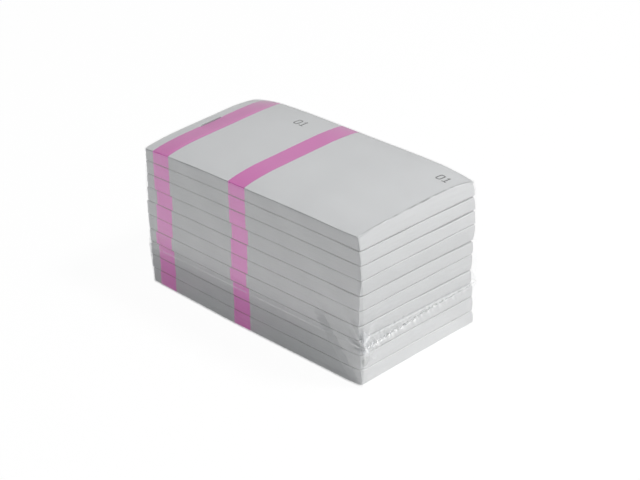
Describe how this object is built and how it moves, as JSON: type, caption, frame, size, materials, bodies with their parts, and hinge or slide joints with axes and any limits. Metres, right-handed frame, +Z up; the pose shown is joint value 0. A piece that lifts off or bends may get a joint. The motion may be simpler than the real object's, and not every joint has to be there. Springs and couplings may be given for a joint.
{
  "type": "shrink-wrapped raffle ticket books",
  "caption": "Block of stapled raffle ticket books with two stripes across every leaf, stacked flat and wrapped in clear shrink film with a crimped trim seal.",
  "frame": {"origin": "middle of the outline's underside, on the surface that the pack rests on", "axes": "+X from the stapled end to the free end of the books, +Y from front to back, +Z up"},
  "size_m": [0.1442, 0.0766, 0.0791],
  "materials": {
    "ticket_paper": "smooth uncoated white paper, two pink printed stripes",
    "staple_wire": "bright galvanised wire",
    "shrink_film": "clear glossy shrink film"
  },
  "bodies": {
    "lower_film": {"film_lower": "shrink_film"},
    "book_01": {"ticket_pad_01": "ticket_paper", "staple_01": "staple_wire"},
    "book_02": {"ticket_pad_02": "ticket_paper", "staple_02": "staple_wire"},
    "book_03": {"ticket_pad_03": "ticket_paper", "staple_03": "staple_wire"},
    "book_04": {"ticket_pad_04": "ticket_paper", "staple_04": "staple_wire"},
    "book_05": {"ticket_pad_05": "ticket_paper", "staple_05": "staple_wire"},
    "book_06": {"ticket_pad_06": "ticket_paper", "staple_06": "staple_wire"},
    "book_07": {"ticket_pad_07": "ticket_paper", "staple_07": "staple_wire"},
    "book_08": {"ticket_pad_08": "ticket_paper", "staple_08": "staple_wire"},
    "book_09": {"ticket_pad_09": "ticket_paper", "staple_09": "staple_wire"},
    "book_10": {"ticket_pad_10": "ticket_paper", "staple_10": "staple_wire"},
    "top_counterfoil": {"top_counterfoil": "ticket_paper"},
    "top_ticket": {"top_ticket": "ticket_paper"},
    "upper_film": {"film_upper": "shrink_film"}
  },
  "joints": [
    {"name": "book_01_lift", "type": "slide", "parent": "lower_film", "child": "book_01", "axis": [0, 0, 1], "range_m": [0, 0.025]},
    {"name": "book_02_lift", "type": "slide", "parent": "book_01", "child": "book_02", "axis": [0, 0, 1], "range_m": [0, 0.025]},
    {"name": "book_03_lift", "type": "slide", "parent": "book_02", "child": "book_03", "axis": [0, 0, 1], "range_m": [0, 0.025]},
    {"name": "book_04_lift", "type": "slide", "parent": "book_03", "child": "book_04", "axis": [0, 0, 1], "range_m": [0, 0.025]},
    {"name": "book_05_lift", "type": "slide", "parent": "book_04", "child": "book_05", "axis": [0, 0, 1], "range_m": [0, 0.025]},
    {"name": "book_06_lift", "type": "slide", "parent": "book_05", "child": "book_06", "axis": [0, 0, 1], "range_m": [0, 0.025]},
    {"name": "book_07_lift", "type": "slide", "parent": "book_06", "child": "book_07", "axis": [0, 0, 1], "range_m": [0, 0.025]},
    {"name": "book_08_lift", "type": "slide", "parent": "book_07", "child": "book_08", "axis": [0, 0, 1], "range_m": [0, 0.025]},
    {"name": "book_09_lift", "type": "slide", "parent": "book_08", "child": "book_09", "axis": [0, 0, 1], "range_m": [0, 0.025]},
    {"name": "book_10_lift", "type": "slide", "parent": "book_09", "child": "book_10", "axis": [0, 0, 1], "range_m": [0, 0.025]},
    {"name": "upper_film_lift", "type": "slide", "parent": "book_10", "child": "upper_film", "axis": [0, 0, 1], "range_m": [0, 0.43]},
    {"name": "counterfoil_turn", "type": "hinge", "parent": "book_10", "child": "top_counterfoil", "pos_m": [-0.0537, -0.00025, 0.07647], "axis": [0, -1, 0], "range_deg": [0, 170]},
    {"name": "ticket_fold", "type": "hinge", "parent": "top_counterfoil", "child": "top_ticket", "pos_m": [-0.0021, -0.00025, 0.07806], "axis": [0, -1, 0], "range_deg": [0, 45]}
  ],
  "couplings": [
    {"joint": "counterfoil_turn", "follows": "upper_film_lift", "rad_per_m": 6.9},
    {"joint": "ticket_fold", "follows": "upper_film_lift", "rad_per_m": 1.82}
  ]
}
